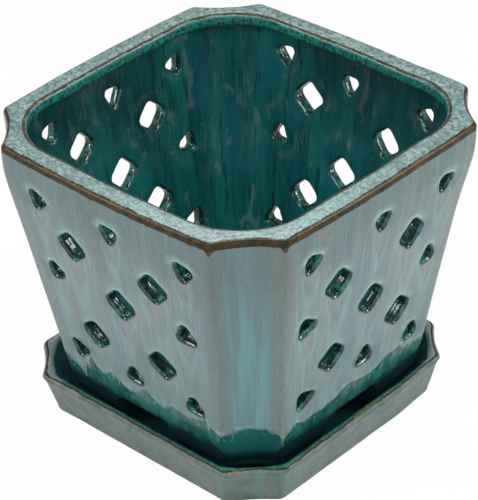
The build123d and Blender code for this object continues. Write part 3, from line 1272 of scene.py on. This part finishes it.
def dress_pot(look):
    """The pot's glazes, each in its own zone along the profile."""
    profile, depth, rise, corner = look.attributes("profile", "depth", "rise", "corner")
    pale, level = look.attributes("pale", "level")
    wobble = look.wander(7, 7, 13)
    fray = look.wander(1.2, 2.4, 14)
    teal = teal_glaze(look)

    # Walls: pale above, teal below
    edge = look.plus(pale, look.times(wobble, 5.0), look.times(fray, 1.6))
    roll = look.times(look.band(edge, 0.3, 2.6, 0.8), look.patches((6, 9, 2, 28), 0.42, 0.62), 0.4)
    above = look.over(pale_glaze(look), ((146, 168, 168), roll))
    walls = look.over(band_glaze(look, teal, edge, wobble), (above, look.ramp(edge, -0.6, 0.6)))

    # Rim: amber line under its outer edge, specks on top, an amber line and a mottled lip inside
    line = look.plus(profile, look.times(wobble, 1.4), look.times(fray, 0.8))
    drip = look.times(look.band(corner, 62.2, 64.2, 0.9), 2.6)
    inner_line = look.times(look.band(line, rim_width - 1.5, rim_width + 0.4, 0.3), 0.9)
    lip = look.over((32, 118, 102), ((16, 56, 66), look.patches((1.6, 1.6, 4, 16, 0.7), 0.45, 0.6)))

    # Slots: dark teal glaze inside, made darker still as painted shade within the slot; red-brown along their
    # lower lip
    reveal = look.over((8, 42, 42), ((32, 108, 94), look.patches((4, 4, 2, 17), 0.46, 0.66)))
    mouth = look.plus(depth, look.times(fray, 0.4))
    below = look.times(look.ramp(rise, 0.1, -0.6), look.ramp(profile, -1.0, -2.0))
    rust = look.times(look.band(mouth, -0.4, 0.1, 0.2), below, look.patches((4, 4, 2, 22), 0.42, 0.6), 0.6)

    # Foot: navy painted shade on the foot ring's faces and notches, bare clay at its lowest edge, in the
    # hollow and under the floor
    low = look.ramp(look.plus(level, look.times(wobble, 1.5)), foot_level + 1.0, foot_level + 0.4)
    under = look.ramp(profile, -150, -160)
    bare = look.times(under, look.math("MAXIMUM", low, look.ramp(profile, -220, -238)))
    colour = look.over(
        walls,
        (amber_glaze(look, 15), look.ramp(look.plus(line, drip), -4.1, -3.6)),
        (rim_glaze(look, line), look.ramp(line, -1.7, -1.1)),
        (amber_glaze(look, 41), inner_line),
        (lip, look.ramp(line, rim_width + 0.4, rim_width + 1.0)),
        (inside_glaze(look, teal), look.ramp(line, rim_width + 6.0, rim_width + 7.5)),
        (reveal, look.ramp(mouth, -0.15, 0.2)),
        ((110, 62, 48), rust),
        # navy painted shade under the pot
        ((34, 58, 66), under),
        (clay_body(look), bare),
    )
    look.plug(look.shader.inputs["Base Color"], colour)

    # Gloss: duller on the rim's top and edges and on the bare foot
    on_top = look.band(profile, 0.5, rim_width, 0.5)
    rough = look.ramp(look.noise(2.5, 9, 3, 18), 0.3, 0.7, 0.08, 0.2)
    dull_line = look.times(look.band(line, -3.8, -0.4, 0.3), look.ramp(corner, 64, 60), 0.1)
    dull_edge = look.times(look.band(line, rim_width - 2, rim_width + 2, 0.5), 0.25)
    rough = look.plus(rough, look.times(on_top, 0.2), look.times(bare, 0.65), dull_line, dull_edge)
    edges = look.plus(look.band(line, -4.2, -1.0, 0.4), look.band(line, rim_width - 2, rim_width + 0.5, 0.4))
    look.plug(look.shader.inputs["Roughness"], rough)
    look.plug(look.shader.inputs["Specular IOR Level"], look.ramp(edges, 0, 1, 0.5, 0.12))
    look.shader.inputs["IOR"].default_value = glaze_ior
    grain = look.times(look.noise(0.7, 0.9, 2, 19), 0.12)
    specks = look.times(look.noise(1.3, 1.3, 4, 11, 0.65, 0.6), on_top, 0.5)
    look.bump(look.plus(grain, look.noise(2.4, 30, 2, 2), specks), 0.35, 0.5)


def dress_saucer(look):
    """The saucer's glazes."""
    profile, corner, forward = look.attributes("profile", "corner", "forward")
    wobble = look.wander(7, 7, 30)
    fray = look.wander(1.2, 2.4, 31)
    line = look.plus(profile, look.times(wobble, 1.8), look.times(fray, 0.7))
    place = look.node("SeparateXYZ")
    look.plug(place.inputs[0], look.attribute("flow", "Vector"))
    amber_run = look.times(look.ramp(place.outputs["X"], 60, 66), look.band(place.outputs["Y"], -6, 9, 4))

    # Wall: grey-green, with warm and green patches
    green = look.times(look.patches((4, 30, 3, 42), 0.48, 0.62), look.ramp(corner, 46, 54), 0.7)
    walls = look.over(
        (72, 100, 94),
        ((98, 110, 104), look.patches((14, 9, 3, 32), 0.42, 0.58)),
        ((62, 92, 84), look.patches((2.4, 5, 4, 33, 0.7, 0.8), 0.46, 0.66, 0.6)),
        ((108, 98, 92), look.patches((7, 12, 4, 34, 0.65), 0.52, 0.64, 0.4)),
        ((60, 122, 106), look.times(green, look.ramp(forward, 60, 100), 0.6)),
    )

    # Rim: a rusty line with amber patches, then teal, with a pale painted highlight on the left and right
    # corners
    rust = look.over(
        (62, 40, 31),
        ((42, 32, 26), look.patches((3, 3, 3, 35), 0.4, 0.6)),
        ((140, 96, 34), look.patches((16, 16, 2, 43), 0.58, 0.7, 0.7)),
        ((112, 80, 30), look.times(amber_run, 0.75)),
    )
    from_side = look.math("MAXIMUM", forward, look.times(forward, -1))
    # painted highlight on the rim's left and right corners
    painted_highlight_ears = look.times(look.ramp(corner, 52, 57), look.ramp(from_side, 60, 40))
    top = look.over(
        (48, 112, 98),
        ((28, 82, 74), look.patches((2.4, 2.4, 4, 36, 0.7), 0.45, 0.6)),
        ((132, 146, 142), look.times(painted_highlight_ears, 0.8)),
    )

    # Dish: teal, going to a darker grey-blue towards its floor as painted shade under the pot
    dish = look.over(
        teal_glaze(look),
        ((30, 98, 86), look.ramp(line, 9, 5, 0, 0.8)),
        ((44, 78, 84), look.ramp(line, 6, 13, 0, 0.9)),
    )
    bare = look.ramp(profile, -50, -56)
    colour = look.over(
        walls,
        (rust, look.ramp(line, -1.7, -1.3)),
        (top, look.ramp(line, -0.9, -0.4)),
        (dish, look.ramp(line, 2.8, 4.2)),
        ((110, 118, 56), look.times(amber_run, look.band(line, 0.4, 3.4, 1.0), 0.35)),
        (clay_body(look), bare),
    )
    look.plug(look.shader.inputs["Base Color"], colour)
    rough = look.ramp(look.noise(2.5, 5, 3, 37), 0.3, 0.7, 0.12, 0.28)
    dull_line = look.times(look.band(line, -2.4, 1.0, 0.3), look.ramp(corner, 58, 54), 0.2)
    look.plug(look.shader.inputs["Roughness"], look.plus(rough, look.times(bare, 0.6), dull_line))
    edges = look.band(line, -2.2, -0.6, 0.3)
    look.plug(look.shader.inputs["Specular IOR Level"], look.ramp(edges, 0, 1, 0.5, 0.15))
    look.shader.inputs["IOR"].default_value = glaze_ior
    look.bump(look.plus(look.times(look.noise(0.8, 1.0, 2, 38), 0.15), look.noise(3, 8, 2, 39)), 0.3, 0.5)


for piece, name, dress in ((pot, "pot_glaze", dress_pot), (saucer, "saucer_glaze", dress_saucer)):
    look = Look(name)
    dress(look)
    piece.data.materials.append(look.material)

# Floor: white where the camera sees it lit, with the object's shadow
floor_mesh = bpy.data.meshes.new("floor")
corners = [(x * floor_half, y * floor_half, 0) for x, y in ((-1, -1), (1, -1), (1, 1), (-1, 1))]
floor_mesh.from_pydata(corners, [], [(0, 1, 2, 3)])
floor = placed("floor", floor_mesh)
look = Look("floor")
look.shader.inputs["Base Color"].default_value = (floor_grey, floor_grey, floor_grey, 1)
look.shader.inputs["Roughness"].default_value = 0.9
look.shader.inputs["Specular IOR Level"].default_value = 0.0
glow = look.node("Emission")
glow.inputs["Color"].default_value = (1, 1, 1, 1)
glow.inputs["Strength"].default_value = 1.0
seen = look.node("LightPath").outputs["Is Camera Ray"]
blend = look.node("MixShader")
look.plug(blend.inputs[0], look.times(seen, seen_white_share))
look.plug(blend.inputs[1], look.shader.outputs[0])
look.plug(blend.inputs[2], glow.outputs[0])
look.plug(look.tree.nodes["Material Output"].inputs["Surface"], blend.outputs[0])
floor.data.materials.append(look.material)


def facing(place, aim, roll=0.0):
    """Matrix of a camera or lamp at a place, turned to an aim."""
    turn = (Vector(aim) - Vector(place)).to_track_quat("-Z", "Y").to_matrix().to_4x4()
    return Matrix.Translation(place) @ turn @ Matrix.Rotation(radians(roll), 4, "Z")


# Camera
camera_data = bpy.data.cameras.new("camera")
camera_data.sensor_width = 36
camera_data.lens = camera_lens
camera_data.clip_end = 20
camera = placed("camera", camera_data)
camera.matrix_world = facing(Vector(camera_place) * metres, Vector(camera_aim) * metres, camera_roll)
bpy.context.scene.camera = camera

# Light: a pale room and the soft boxes
world = bpy.data.worlds.new("world")
bpy.context.scene.world = world
world.use_nodes = True
world.node_tree.nodes["Background"].inputs["Color"].default_value = (1, 1, 1, 1)
world.node_tree.nodes["Background"].inputs["Strength"].default_value = room_light
for name, azimuth, elevation, width, height, radiance in soft_boxes:
    data = bpy.data.lights.new(name, "AREA")
    data.shape = "RECTANGLE"
    data.size = width
    data.size_y = height
    data.energy = radiance * width * height * pi
    a, e = radians(azimuth), radians(elevation)
    stand = Vector((sin(a) * cos(e), -cos(a) * cos(e), sin(e))) * lamp_distance
    placed(name, data).matrix_world = facing(stand, lamp_aim)

bpy.context.scene.view_settings.view_transform = "Standard"
